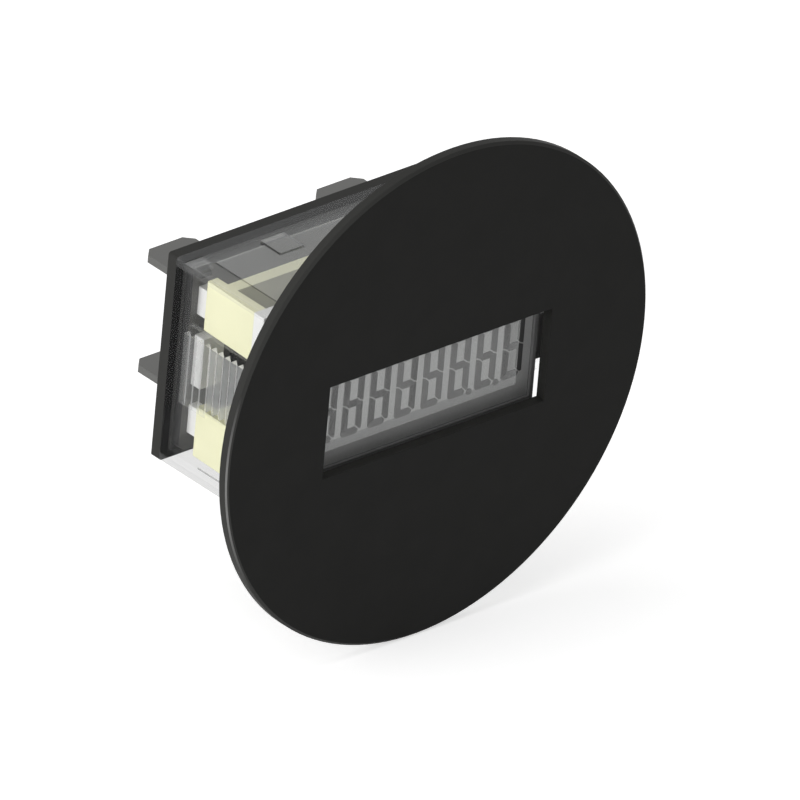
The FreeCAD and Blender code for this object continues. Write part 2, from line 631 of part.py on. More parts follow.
def make_lcd_segments():
    """Eight digits and the decimal points behind some of them, all dark."""
    body = new_body("lcd_segments")
    centre = "(-(Dims.digit_count - 1) * %s / 2)" % DIGIT_PITCH
    digit = front_sketch(body, INK_FRONT)
    for sign in (1, -1):
        draw_outline(digit, turned(corner_stroke(), sign, centre))
    draw_outline(digit, turned(step_stroke(), 1, centre) + turned(step_stroke(), -1, centre))
    strokes = pad_back(body, digit, "Dims.ink_thickness")
    row(body, strokes, "X_Axis", DIGIT_PITCH, "Dims.digit_count")
    dot = front_sketch(body, INK_FRONT)
    place = "%s + (Dims.dot_digit - 0.5) * %s - Dims.dot_shift" % (centre, DIGIT_PITCH)
    draw_circle(dot, place, "-Dims.dot_drop", "Dims.dot_diameter / 2")
    first = pad_back(body, dot, "Dims.ink_thickness")
    row(body, first, "X_Axis", DIGIT_PITCH, "Dims.dot_count")


def turned(corners, sign, centre):
    """Move an outline to a digit's middle, upright or turned by half a turn."""
    moved = []
    for corner in corners:
        across = "%s + %d * (%s)" % (centre, sign, corner[0])
        up = "Dims.digit_rise + %d * (%s)" % (sign, corner[1])
        moved.append((across, up) + tuple(corner[2:]))
    return moved


def corner_stroke():
    """The lower left stroke and the bottom stroke of a digit, joined at a round corner."""
    left = "-%s / 2" % DIGIT_WIDTH
    right = "%s / 2" % DIGIT_WIDTH
    low = "-Dims.digit_height / 2"
    slit = "Dims.stroke_gap * 1.41"
    return [(left, low, "(Dims.stroke / 2)"),
            (right + " - 0.75 * Dims.stroke", low),
            (right + " - Dims.stroke / 2", low + " + Dims.stroke / 2"),
            (right + " - Dims.stroke", low + " + Dims.stroke"),
            (left + " + Dims.stroke", low + " + Dims.stroke"),
            (left + " + Dims.stroke", "-Dims.stroke / 2 - " + slit),
            (left + " + Dims.stroke / 2", "-Dims.stroke / 20 - " + slit),
            (left, "Dims.stroke / 6 - " + slit)]


def step_stroke():
    """Half of the stroke that runs down the upper left, across and down the lower right."""
    left = "-%s / 2" % DIGIT_WIDTH
    high = "Dims.digit_height / 2"
    slit = "Dims.stroke_gap * 1.41"
    return [("-(%s)" % left, "-Dims.stroke / 6"),
            ("-(%s) - Dims.stroke / 2" % left, "Dims.stroke / 20"),
            ("-(%s) - Dims.stroke" % left, "Dims.stroke / 2"),
            (left + " + Dims.stroke", "Dims.stroke / 2"),
            (left + " + Dims.stroke", "%s - Dims.stroke - %s" % (high, slit)),
            (left + " + Dims.stroke_bevel", "%s - Dims.stroke_bevel - %s" % (high, slit)),
            (left, "%s - 2 * Dims.stroke_bevel" % high)]


def make_display_glass():
    """Rear glass, and the smaller front glass bonded over the segments."""
    half_height = "(Dims.glass_height / 2)"
    block("lcd_rear_glass", flip(GLASS_X), GLASS_X, "Dims.glass_front", GLASS_BACK,
          flip(half_height), half_height)
    block("lcd_front_glass", flip(GLASS_X), "%s - Dims.ledge_right" % GLASS_X,
          "Dims.cover_glass_front", INK_FRONT,
          "Dims.ledge_bottom - %s" % half_height, "%s - Dims.ledge_top" % half_height)


def make_lcd_pins():
    """Spring pins that grip the top edge of the rear glass and run back to the small board."""
    body = new_body("lcd_pins")
    first_x = "-(Dims.pin_count - 1) * %s / 2" % PIN_PITCH
    side = new_sketch(body, "YZ_Plane", first_x)
    front = "(Dims.glass_front - Dims.pin_thickness)"
    top = "(%s + Dims.pin_thickness)" % PIN_Z
    draw_outline(side, [(front, "%s - Dims.pin_grip" % PIN_Z), (front, top),
                        (DISPLAY_BOARD_BACK + " + Dims.fit_gap", top),
                        (DISPLAY_BOARD_BACK + " + Dims.fit_gap", PIN_Z),
                        ("Dims.glass_front", PIN_Z),
                        ("Dims.glass_front", "%s - Dims.pin_grip" % PIN_Z)])
    first = pad(body, side, "Dims.pin_width", both_ways=True)
    row(body, first, "X_Axis", PIN_PITCH, "Dims.pin_count")


def make_display_board():
    """Small circuit board in the back of the holder."""
    body = new_body("display_board")
    outline = front_sketch(body, DISPLAY_BOARD_FRONT)
    draw_rectangle(outline, flip(DISPLAY_BOARD_X), flip(DISPLAY_BOARD_Z),
                   DISPLAY_BOARD_X, DISPLAY_BOARD_Z)
    pad_back(body, outline, "Dims.board_thickness")
    hole = front_sketch(body, DISPLAY_BOARD_FRONT)
    draw_around(hole, "-(Dims.pin_count - 1) * %s / 2" % PIN_PITCH,
                "(%s + Dims.pin_thickness / 2)" % PIN_Z, "Dims.pin_width", "Dims.pin_thickness")
    first = pocket(body, hole, "Dims.board_thickness")
    row(body, first, "X_Axis", PIN_PITCH, "Dims.pin_count")
    drill_link_holes(body, DISPLAY_BOARD_FRONT, "Dims.board_thickness")


def make_counting_chip():
    """Dome of black resin over the bare counting chip."""
    body = new_body("counting_chip")
    profile = new_sketch(body, "YZ_Plane")
    radius = "Dims.blob_diameter / 2"
    peak = "%s + Dims.blob_height" % DISPLAY_BOARD_BACK
    ball = "((Dims.blob_diameter / 2) ^ 2 + Dims.blob_height ^ 2) / (2 * Dims.blob_height)"
    foot = FreeCAD.Vector(number(DISPLAY_BOARD_BACK), number(radius), 0)
    middle = FreeCAD.Vector(number(DISPLAY_BOARD_BACK), 0, 0)
    top = FreeCAD.Vector(number(peak), 0, 0)
    centre = FreeCAD.Vector(number(peak) - number(ball), 0, 0)
    flat = profile.addGeometry(Part.LineSegment(middle, foot))
    axis = profile.addGeometry(Part.LineSegment(top, middle))
    circle = Part.Circle(centre, FreeCAD.Vector(0, 0, 1), number(ball))
    end_angle = math.atan2(foot.y, foot.x - centre.x)
    arc = profile.addGeometry(Part.ArcOfCircle(circle, 0, end_angle))
    fix_point(profile, flat, 1, DISPLAY_BOARD_BACK, "0")
    fix_point(profile, flat, 2, DISPLAY_BOARD_BACK, radius)
    fix_point(profile, axis, 1, peak, "0")
    profile.addConstraint(Sketcher.Constraint("Coincident", axis, 2, flat, 1))
    profile.addConstraint(Sketcher.Constraint("Coincident", arc, 1, axis, 1))
    profile.addConstraint(Sketcher.Constraint("Coincident", arc, 2, flat, 2))
    bind(profile, ball, "Radius", arc)
    dome = body.newObject("PartDesign::Revolution", "counting_chip_dome")
    dome.Profile = profile
    dome.ReferenceAxis = (origin_feature(body, "Y_Axis"), [""])
    dome.Angle = 360


def make_board_parts():
    """Crystal and supply capacitor on the small board, resistors on the main board."""
    crystal = new_body("crystal")
    end = new_sketch(crystal, "YZ_Plane")
    draw_circle(end, "%s + Dims.crystal_diameter / 2" % DISPLAY_BOARD_BACK,
                "-(Dims.blob_diameter + Dims.crystal_diameter) / 2 - Dims.crystal_gap",
                "Dims.crystal_diameter / 2")
    pad(crystal, end, "Dims.crystal_length", both_ways=True)
    place = "%s - Dims.capacitor_inset" % DISPLAY_BOARD_X
    block("supply_capacitor", "(%s - Dims.capacitor_size / 2)" % place,
          "(%s + Dims.capacitor_size / 2)" % place, DISPLAY_BOARD_BACK,
          "(%s + Dims.capacitor_depth)" % DISPLAY_BOARD_BACK,
          "-Dims.capacitor_size / 2", "Dims.capacitor_size / 2")
    resistors = new_body("input_resistors")
    outline = front_sketch(resistors, "%s - Dims.resistor_depth" % BOARD_FRONT)
    for across, up in each_blade():
        middle = "%s(%s + Dims.resistor_gap + Dims.resistor_length / 2)" % (across, STRAP_TOE)
        draw_around(outline, middle, up + "Dims.resistor_place_z",
                    "Dims.resistor_length", "Dims.resistor_width")
    pad_back(resistors, outline, "Dims.resistor_depth")


def make_battery():
    """Lithium coin cell on the main board, held by a spring strap."""
    cell = new_body("battery")
    front = "(%s - Dims.battery_thickness)" % BOARD_FRONT
    can = front_sketch(cell, front)
    draw_circle(can, "0", "Dims.battery_rise", "Dims.battery_diameter / 2")
    pad_back(cell, can, "Dims.battery_thickness - Dims.battery_lip")
    lid = front_sketch(cell, "%s - Dims.battery_lip" % BOARD_FRONT)
    draw_circle(lid, "0", "Dims.battery_rise", "Dims.battery_diameter / 2 - 2 * Dims.battery_lip")
    pad_back(cell, lid, "Dims.battery_lip")

    strap = new_body("battery_strap")
    section = new_sketch(strap, "XY_Plane", "Dims.battery_rise")
    inside = "(%s - Dims.strap_thickness)" % STRAP_SIDE
    sole = "(%s - Dims.strap_thickness)" % BOARD_FRONT
    right = [(inside, front), (inside, BOARD_FRONT), (STRAP_TOE, BOARD_FRONT), (STRAP_TOE, sole),
             (STRAP_SIDE, sole), (STRAP_SIDE, "%s - Dims.strap_thickness" % front)]
    left = [(flip(across), along) for across, along in reversed(right)]
    draw_outline(section, right + left)
    pad(strap, section, "Dims.strap_width", both_ways=True)


def make_board_link():
    """Row of pins between the two boards, carried by a plastic strip."""
    strip = block("link_strip", "-%s" % LINK_HALF, LINK_HALF,
                  "(%s - Dims.link_strip)" % BOARD_FRONT, BOARD_FRONT,
                  "(-Dims.link_drop - Dims.link_strip / 2)",
                  "(-Dims.link_drop + Dims.link_strip / 2)")
    drill_link_holes(strip, "%s - Dims.link_strip" % BOARD_FRONT, "Dims.link_strip")
    pins = new_body("link_pins")
    section = front_sketch(pins, DISPLAY_BOARD_FRONT)
    draw_around(section, "-(Dims.link_pins - 1) * Dims.link_pitch / 2", "-Dims.link_drop",
                "Dims.link_pin", "Dims.link_pin")
    first = pad_back(pins, section, "%s - %s" % (PLUG_FRONT, DISPLAY_BOARD_FRONT))
    row(pins, first, "X_Axis", "Dims.link_pitch", "Dims.link_pins")


def make_isolators():
    """Input isolator on each side of the main board."""
    for label, side in (("isolator_left", "-"), ("isolator_right", "")):
        face = "(%s - Dims.isolator_inset)" % BOARD_X
        block(label, side + face, "%s(%s - Dims.isolator_width)" % (side, face),
              "(%s - Dims.isolator_depth)" % BOARD_FRONT, BOARD_FRONT,
              "-Dims.isolator_height / 2", "Dims.isolator_height / 2")


def make_board_spacers():
    """Four posts between the inner frame and the main board."""
    body = new_body("board_spacers")
    posts = front_sketch(body, FRAME_BACK)
    for across, up in each_blade():
        draw_around(posts, "%s(%s - Dims.post_inset - Dims.post_thickness / 2)" % (across, FRAME_BACK_X),
                    up + "Dims.post_place", "Dims.post_thickness", "Dims.post_height")
    pad_back(body, posts, "Dims.post_length")


def make_terminals():
    """Four flat spade terminals with solder tails through the main board."""
    half_tail = "Dims.tail_width / 2"
    half_blade = "Dims.blade_width / 2"
    tip = "(Dims.case_length + Dims.cover_thickness + Dims.blade_length)"
    profile = [(half_tail, "%s - Dims.tail_length" % PLUG_FRONT), (half_tail, PLUG_FRONT),
               (half_blade, PLUG_FRONT), (half_blade, tip + " - Dims.blade_chamfer"),
               (half_blade + " - Dims.blade_chamfer", tip)]
    for index, (across, up) in enumerate(each_blade(), start=1):
        body = new_body("terminal_%d" % index)
        centre = across + "Dims.blade_spacing_x / 2"
        outline = new_sketch(body, "XY_Plane", up + "Dims.blade_spacing_z / 2")
        right = [("%s + %s" % (centre, out), along) for out, along in profile]
        left = [("%s - (%s)" % (centre, out), along) for out, along in reversed(profile)]
        draw_outline(outline, right + left)
        pad(body, outline, "Dims.blade_thickness", both_ways=True)


def check_and_write():
    """Stop at any broken object, then write one file for each sub-part."""
    for item in document.Objects:
        bad = [word for word in item.State if word in ("Invalid", "Error")]
        if bad:
            raise RuntimeError("%s: %s" % (item.Label, ", ".join(bad)))
    for node in nodes:
        if node.Shape.isNull() or not node.Shape.isValid():
            raise RuntimeError("%s has no valid shape" % node.Label)
    os.makedirs("parts", exist_ok=True)
    for node in nodes:
        node.Shape.exportStep("parts/%s.step" % node.Label)


make_sheet()
make_bezel()
make_case()
make_rear_cover()
make_main_board()
make_inner_frame()
make_lcd_holder()
make_lcd_frame()
make_display_glass()
make_lcd_segments()
make_lcd_pins()
make_display_board()
make_counting_chip()
make_board_parts()
make_board_link()
make_battery()
make_isolators()
make_board_spacers()
make_terminals()
document.recompute()
check_and_write()
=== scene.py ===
"""Looks of the digital totalizer counter: materials, floor, light and camera.

Everything is in metres, in the frame of the CAD model: X to the right, Y to the back, Z up,
with the origin at the centre of the bezel's rear face.
"""
import json
import math

import bpy
from mathutils import Matrix, Vector


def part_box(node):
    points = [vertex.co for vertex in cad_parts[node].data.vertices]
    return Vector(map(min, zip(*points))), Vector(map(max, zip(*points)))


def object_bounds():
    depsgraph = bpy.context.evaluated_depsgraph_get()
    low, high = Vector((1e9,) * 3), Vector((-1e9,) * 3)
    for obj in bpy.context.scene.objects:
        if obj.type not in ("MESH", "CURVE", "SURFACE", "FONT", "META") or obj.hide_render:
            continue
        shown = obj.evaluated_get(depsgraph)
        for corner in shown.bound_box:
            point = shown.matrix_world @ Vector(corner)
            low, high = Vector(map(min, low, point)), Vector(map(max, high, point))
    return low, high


MM = 0.001

# The photograph's view is a parallel projection, turned to the left, from above, with a slight roll.
PHOTO_SIDE = 800
PHOTO_PIXELS_PER_MM = 9.92
VIEW_AZIMUTH = math.radians(-43.25)
VIEW_ELEVATION = math.radians(29.24)
VIEW_ROLL = math.radians(5.05)
# Where the centre of the bezel's rear face falls in the photograph, in pixels.
ORIGIN_PIXEL = (429.5, 389.2)
CAMERA_DISTANCE = 0.4

# Light: the even surroundings, what lifts the lit floor to white in the picture, and the lamps.
WORLD_STRENGTH = 0.21
FLOOR_LIFT = 0.61
FLOOR_COLOUR = (0.92, 0.92, 0.92)
FLOOR_HALF = 3.0
LAMP_DISTANCE = 0.6
LAMP_SIZE = 0.5

# Sizes of the clear case and the bezel, as in the CAD model. The raised flats include their pads.
NOTCH_DEPTH = 0.73 * MM
NOTCH_HEIGHT = 8.06 * MM
RAISED_HEIGHT = 0.45 * MM
RECESS_DEPTH = 0.15 * MM
WALL = 1.0 * MM
BEVEL = 0.3 * MM
# How far from a plane a point may lie and still count as in it.
TINY = 0.02 * MM

# The notches within this distance of the case's rear end are clearer than the others. This much of
# the others, at their lower end, is as clear as the sides.
REAR_NOTCHES = 5.36 * MM
CLEAR_END = 0.75 * MM

# How squarely the bezel's bevel looks to the front, and a notch's slanting faces to the side.
BEVEL_FACING = (0.6, 0.8)
RAMP_FACING = (0.7, 0.9)

# The bevel's painted highlight fades in between two heights below it and two above it.
PAINTED_HIGHLIGHT_BELOW = (-16 * MM, -6 * MM)
PAINTED_HIGHLIGHT_ABOVE = (8 * MM, -1 * MM)

# How much of the light the clear plastic's surfaces stop.
SIDE_COVER = 0.035
WALL_EDGE_COVER = 0.14
MATT_COVER = 0.125
FLAT_COVER = 0.25
UNDER_COVER = 0.33
# The notches stop more than the sides, most on their slanting faces, as painted highlights.
REAR_NOTCH_COVER = 0.21
FRONT_NOTCH_COVER = 0.54
RAMP_COVER = 0.62
# The raised flats' side faces stop half the light, so that they show as painted shade lines.
STEP_COVER = 0.5

# Most of a noise texture's values lie between these two.
NOISE_RANGE = (0.3, 0.7)

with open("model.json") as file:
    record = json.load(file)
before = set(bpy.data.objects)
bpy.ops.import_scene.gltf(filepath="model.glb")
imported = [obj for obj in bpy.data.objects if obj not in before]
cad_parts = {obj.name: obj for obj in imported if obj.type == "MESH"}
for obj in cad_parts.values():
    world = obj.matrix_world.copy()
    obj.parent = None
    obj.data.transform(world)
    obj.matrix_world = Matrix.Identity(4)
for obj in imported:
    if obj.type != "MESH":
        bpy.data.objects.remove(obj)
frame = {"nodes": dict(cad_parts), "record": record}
nodes = frame["nodes"]
cad_box = [list(corner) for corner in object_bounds()]


def new_material(name):
    """An empty node material with its Principled shader."""
    material = bpy.data.materials.new(name)
    material.use_nodes = True
    return material, material.node_tree, material.node_tree.nodes["Principled BSDF"]


def parts_of(material):
    """A finished material's nodes, its shader, and the socket its base colour comes from."""
    tree = material.node_tree
    shader = tree.nodes["Principled BSDF"]
    return tree, shader, shader.inputs["Base Color"].links[0].from_socket


def grain(tree, size, detail=2.0, stretch=(1, 1, 1)):
    """Noise whose grains are about the given size in metres, fixed to the object."""
    source = tree.nodes.new("ShaderNodeTexCoord")
    scale = tree.nodes.new("ShaderNodeMapping")
    scale.inputs["Scale"].default_value = stretch
    noise = tree.nodes.new("ShaderNodeTexNoise")
    noise.inputs["Scale"].default_value = 1 / size
    noise.inputs["Detail"].default_value = detail
    tree.links.new(source.outputs["Object"], scale.inputs["Vector"])
    tree.links.new(scale.outputs["Vector"], noise.inputs["Vector"])
    return noise.outputs["Fac"]


def between(tree, factor, low, high):
    """Spread a noise over a range of values."""
    spread = tree.nodes.new("ShaderNodeMapRange")
    spread.inputs["From Min"].default_value = NOISE_RANGE[0]
    spread.inputs["From Max"].default_value = NOISE_RANGE[1]
    spread.inputs["To Min"].default_value = low
    spread.inputs["To Max"].default_value = high
    tree.links.new(factor, spread.inputs["Value"])
    return spread.outputs["Result"]


def blend_colours(tree, factor, first, second):
    """Mix two colours, each a socket or plain numbers."""
    mix = tree.nodes.new("ShaderNodeMix")
    mix.data_type = "RGBA"
    tree.links.new(factor, mix.inputs["Factor"])
    for name, colour in (("A", first), ("B", second)):
        if isinstance(colour, tuple):
            mix.inputs[name].default_value = (*colour, 1)
        else:
            tree.links.new(colour, mix.inputs[name])
    return mix.outputs["Result"]


def tint(tree, factor, dark, light):
    """Spread a noise between two colours."""
    return blend_colours(tree, between(tree, factor, 0, 1), tuple(dark), tuple(light))


def relief(tree, shader, height, depth, edge=0.0):
    """Bump of a given depth in metres, on edges that look rounded by the given radius."""
    bump = tree.nodes.new("ShaderNodeBump")
    bump.inputs["Distance"].default_value = depth
    bump.inputs["Strength"].default_value = 1.0
    tree.links.new(height, bump.inputs["Height"])
    if edge:
        rounding = tree.nodes.new("ShaderNodeBevel")
        rounding.inputs["Radius"].default_value = edge
        tree.links.new(rounding.outputs["Normal"], bump.inputs["Normal"])
    tree.links.new(bump.outputs["Normal"], shader.inputs["Normal"])


def moulded(name, colour, roughness, texture=0.004 * MM, edge=0.08 * MM, spread=0.06, gloss=0.5):
    """Opaque moulded plastic: fine spark-eroded grain, slight change of shade."""
    material, tree, shader = new_material(name)
    shader.inputs["Specular IOR Level"].default_value = gloss
    dark = [max(0.0, part * (1 - spread)) for part in colour]
    light = [min(1.0, part * (1 + spread)) for part in colour]
    shade = tint(tree, grain(tree, 4 * MM), dark, light)
    tree.links.new(shade, shader.inputs["Base Color"])
    fine = grain(tree, 0.12 * MM)
    tree.links.new(between(tree, fine, roughness - 0.05, roughness + 0.05), shader.inputs["Roughness"])
    relief(tree, shader, fine, texture, edge)
    return material


def coordinate(tree, kind, axis, mirrored):
    """One component of the object's own position or normal, without its sign if mirrored."""
    source = tree.nodes.new("ShaderNodeTexCoord")
    split = tree.nodes.new("ShaderNodeSeparateXYZ")
    tree.links.new(source.outputs[kind], split.inputs["Vector"])
    if not mirrored:
        return split.outputs[axis]
    size = tree.nodes.new("ShaderNodeMath")
    size.operation = "ABSOLUTE"
    tree.links.new(split.outputs[axis], size.inputs[0])
    return size.outputs["Value"]


def facing(tree, axis):
    """How squarely a face looks along one of the object's axes, 0 to 1."""
    return coordinate(tree, "Normal", axis, True)


def place(tree, axis, mirrored=False):
    """Where a point lies along one of the object's axes, or how far from the middle."""
    return coordinate(tree, "Object", axis, mirrored)


def within(tree, value, low, high):
    """1 where a value lies between two numbers, else 0."""
    test = tree.nodes.new("ShaderNodeMath")
    test.operation = "COMPARE"
    tree.links.new(value, test.inputs[0])
    test.inputs[1].default_value = (low + high) / 2
    test.inputs[2].default_value = (high - low) / 2
    return test.outputs["Value"]


def in_plane(tree, value, level):
    """1 where a coordinate is at a given level, else 0."""
    return within(tree, value, level - TINY, level + TINY)


def both(tree, first, second):
    """1 where two masks are both 1."""
    product = tree.nodes.new("ShaderNodeMath")
    product.operation = "MULTIPLY"
    tree.links.new(first, product.inputs[0])
    tree.links.new(second, product.inputs[1])
    return product.outputs["Value"]


def fade(tree, value, start, end):
    """0 up to a value's start, then evenly to 1 at its end."""
    ramp = tree.nodes.new("ShaderNodeMapRange")
    ramp.inputs["From Min"].default_value = start
    ramp.inputs["From Max"].default_value = end
    tree.links.new(value, ramp.inputs["Value"])
    return ramp.outputs["Result"]


def span(tree, factor, low, high):
    """A value that goes with a mask from one number or socket to another."""
    mix = tree.nodes.new("ShaderNodeMix")
    tree.links.new(factor, mix.inputs["Factor"])
    for name, value in (("A", low), ("B", high)):
        if isinstance(value, float):
            mix.inputs[name].default_value = value
        else:
            tree.links.new(value, mix.inputs[name])
    return mix.outputs["Result"]


def circuit_board(name, face, edge):
    """Coated laminate whose cut edges are darker than its faces."""
    material = moulded(name, face, 0.45, texture=0.006 * MM, edge=0.0, gloss=0.3)
    tree, shader, coat = parts_of(material)
    tree.links.new(blend_colours(tree, facing(tree, "Y"), edge, coat), shader.inputs["Base Color"])
    return material


def see_through(name, colour, cover, roughness):
    """Clear moulding: mostly see-through, with a faint haze and slow waves in its surface."""
    material, tree, shader = new_material(name)
    waves = grain(tree, 3 * MM, detail=1.0)
    tree.links.new(tint(tree, waves, [part * 0.97 for part in colour], colour),
                   shader.inputs["Base Color"])
    shader.inputs["Alpha"].default_value = cover
    tree.links.new(between(tree, waves, roughness, roughness * 1.6), shader.inputs["Roughness"])
    shader.inputs["IOR"].default_value = 1.5
    relief(tree, shader, waves, 0.004 * MM)
    return material


def black_moulding(name):
    """Satin black plastic with painted light: its side faces a little lighter than its front and back,
    its bevel lighter, and a painted highlight on part of the bezel's bevel.
    """
    material = moulded(name, (0.02, 0.02, 0.019), 0.55, gloss=0.07)
    tree, shader, flat = parts_of(material)
    bevel = within(tree, facing(tree, "Y"), *BEVEL_FACING)
    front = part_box("bezel")[0][1]
    rear_half = within(tree, place(tree, "Y"), front + BEVEL / 2, front + BEVEL)
    height = place(tree, "Z")
    # The painted highlight's band: between two heights, on the rear half of the bevel.
    painted_highlight = both(tree, fade(tree, height, *PAINTED_HIGHLIGHT_ABOVE), fade(tree, height, *PAINTED_HIGHLIGHT_BELOW))
    painted_highlight = both(tree, painted_highlight, both(tree, bevel, rear_half))

    # Painted light: faces that don't look along Y are painted a little lighter, like sides in the
    # light.
    colour = blend_colours(tree, facing(tree, "Y"), (0.036, 0.036, 0.034), flat)
    # Painted highlight: the whole bevel is painted lighter.
    colour = blend_colours(tree, bevel, colour, (0.045, 0.045, 0.043))
    # Painted highlight: a pale band on the rear half of the bevel, a little below its middle.
    colour = blend_colours(tree, painted_highlight, colour, (0.27, 0.27, 0.265))
    tree.links.new(colour, shader.inputs["Base Color"])
    return material


def notch_cover(tree, length):
    """How much the notches stop: most on their slanting faces, as painted highlights of light caught
    in the notches, and less in the rearmost ones.
    """
    front_end = length - REAR_NOTCHES
    in_front = fade(tree, place(tree, "Y"), front_end, front_end - NOTCH_DEPTH)
    valleys = span(tree, in_front, REAR_NOTCH_COVER, FRONT_NOTCH_COVER)
    ramps = within(tree, facing(tree, "X"), *RAMP_FACING)
    cover = span(tree, ramps, valleys, RAMP_COVER)
    ends = within(tree, place(tree, "Z"), -NOTCH_HEIGHT / 2 - TINY, CLEAR_END - NOTCH_HEIGHT / 2)
    return span(tree, both(tree, ends, in_front), cover, SIDE_COVER)


def clear_case(name):
    """Clear moulding with polished sides and matt top and underside. Painted light: the haze of its
    sides and underside is painted darker as shade, the side faces of its raised flats are painted near
    black as shade lines, and its notches are painted whitish, most on their slanting faces, as
    highlights.

    Its front and rear ends stand on black faces in the same planes, so they are opaque black too.
    """
    material = see_through(name, (0.93, 0.94, 0.94), MATT_COVER, 0.06)
    tree, shader, haze = parts_of(material)
    polish = shader.inputs["Roughness"].links[0].from_socket
    half_width, length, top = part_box("case")[1]
    outside = top - RAISED_HEIGHT
    level = place(tree, "Z")
    height = place(tree, "Z", True)
    sideways = facing(tree, "X")
    rows = within(tree, place(tree, "X", True), half_width - NOTCH_DEPTH - TINY, half_width - TINY)
    rows = both(tree, rows, within(tree, height, -TINY, NOTCH_HEIGHT / 2 + TINY))
    flats = within(tree, level, outside + TINY, top + TINY)
    steps = both(tree, flats, sideways)
    recesses = in_plane(tree, level, outside - RECESS_DEPTH)
    underside = within(tree, level, -top - TINY, TINY - outside)
    inner_bottom = in_plane(tree, level, WALL - outside)
    wall_edges = within(tree, height, outside - WALL, outside)

    # Painted shade: the underside's haze is dark.
    colour = blend_colours(tree, underside, haze, (0.12, 0.12, 0.12))
    # Painted shade: the sides' haze is greyer than the top's.
    colour = blend_colours(tree, sideways, colour, (0.5, 0.505, 0.505))
    # Painted shade: the raised flats' side faces are near black, as dark lines.
    colour = blend_colours(tree, steps, colour, (0.03, 0.03, 0.03))
    colour = blend_colours(tree, rows, colour, haze)

    cover = span(tree, sideways, MATT_COVER, span(tree, wall_edges, SIDE_COVER, WALL_EDGE_COVER))
    cover = span(tree, flats, cover, FLAT_COVER)
    cover = span(tree, recesses, cover, FLAT_COVER)
    # Painted shade: these dark lines are half opaque.
    cover = span(tree, steps, cover, STEP_COVER)
    cover = span(tree, inner_bottom, cover, SIDE_COVER)
    cover = span(tree, underside, cover, UNDER_COVER)
    # Painted highlights: the notches are cloudier than the sides, most on their slanting faces.
    cover = span(tree, rows, cover, notch_cover(tree, length))

    for end in (0.0, length):
        joined = in_plane(tree, place(tree, "Y"), end)
        colour = blend_colours(tree, joined, colour, (0.0, 0.0, 0.0))
        cover = span(tree, joined, cover, 1.0)
    tree.links.new(colour, shader.inputs["Base Color"])
    tree.links.new(cover, shader.inputs["Alpha"])
    tree.links.new(span(tree, facing(tree, "Z"), polish, 0.5), shader.inputs["Roughness"])
    return material


def display_pane(name):
    """Dark rear glass, with a pale reflecting film where the front glass covers it."""
    material = moulded(name, (0.58, 0.585, 0.58), 0.25, texture=0.0005 * MM,
                       edge=0.03 * MM, spread=0.03)
    tree, shader, bare = parts_of(material)
    low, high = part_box("lcd_front_glass")
    film = both(tree, within(tree, place(tree, "X"), low[0], high[0]),
                within(tree, place(tree, "Z"), low[2], high[2]))
    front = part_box("lcd_rear_glass")[0][1]
    film = both(tree, film, in_plane(tree, place(tree, "Y"), front))
    tree.links.new(blend_colours(tree, film, bare, (0.95, 0.96, 0.95)), shader.inputs["Base Color"])
    return material


def display_ink(name):
    """Dark segments, painted lighter where the front glass covers them, in place of the light that the
    glass adds over them.
    """
    material = moulded(name, (0.045, 0.045, 0.045), 0.5, texture=0.0005 * MM, edge=0.0)
    tree, shader, bare = parts_of(material)
    low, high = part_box("lcd_front_glass")
    covered = within(tree, place(tree, "X"), low[0], high[0])
    # Painted light: the segments under the front glass are lighter.
    tree.links.new(blend_colours(tree, covered, bare, (0.2, 0.2, 0.2)), shader.inputs["Base Color"])
    return material


def plated(name, colour, roughness, stretch):
    """Plated or rolled metal with fine lines along one direction."""
    material, tree, shader = new_material(name)
    lines = grain(tree, 0.25 * MM, detail=4.0, stretch=stretch)
    tree.links.new(tint(tree, lines, [part * 0.88 for part in colour], colour),
                   shader.inputs["Base Color"])
    shader.inputs["Metallic"].default_value = 0.85
    tree.links.new(between(tree, lines, roughness - 0.06, roughness + 0.08),
                   shader.inputs["Roughness"])
    relief(tree, shader, lines, 0.002 * MM, 0.06 * MM)
    return material


def make_materials():
    """One material for each of the record's slots."""
    along_x = (0.08, 1, 1)
    along_y = (1, 0.08, 1)
    even = (1, 1, 1)
    return {
        "black_plastic": black_moulding("black_plastic"),
        "clear_plastic": clear_case("clear_plastic"),
        "board_laminate": circuit_board("board_laminate", (0.13, 0.13, 0.13), (0.012, 0.012, 0.012)),
        "cream_plastic": moulded("cream_plastic", (0.97, 0.96, 0.65), 0.5, spread=0.02),
        "white_plastic": moulded("white_plastic", (0.95, 0.95, 0.94), 0.45, spread=0.02),
        "surround_black": moulded("surround_black", (0.3, 0.3, 0.3), 0.6, gloss=0.12),
        "display_glass": display_pane("display_glass"),
        "front_glass": see_through("front_glass", (0.98, 0.99, 0.98), 0.24, 0.03),
        "segment_ink": display_ink("segment_ink"),
        "tinned_metal": plated("tinned_metal", (0.72, 0.72, 0.70), 0.3, along_y),
        "terminal_metal": plated("terminal_metal", (0.135, 0.135, 0.13), 0.42, along_y),
        "chip_resin": moulded("chip_resin", (0.012, 0.012, 0.012), 0.2, texture=0.001 * MM),
        "steel_can": plated("steel_can", (0.62, 0.62, 0.61), 0.28, even),
        "spring_steel": plated("spring_steel", (0.55, 0.55, 0.53), 0.3, along_x),
        "capacitor_body": moulded("capacitor_body", (0.62, 0.36, 0.06), 0.4),
        "resistor_body": moulded("resistor_body", (0.02, 0.02, 0.025), 0.25),
        "strip_black": moulded("strip_black", (0.015, 0.015, 0.015), 0.5),
    }


def dress_nodes():
    """Give each CAD node the material of its slot in the record."""
    materials = make_materials()
    for subpart in frame["record"]["subparts"]:
        piece = nodes[subpart["node"]]
        piece.data.materials.clear()
        piece.data.materials.append(materials[subpart["material_slot"]])


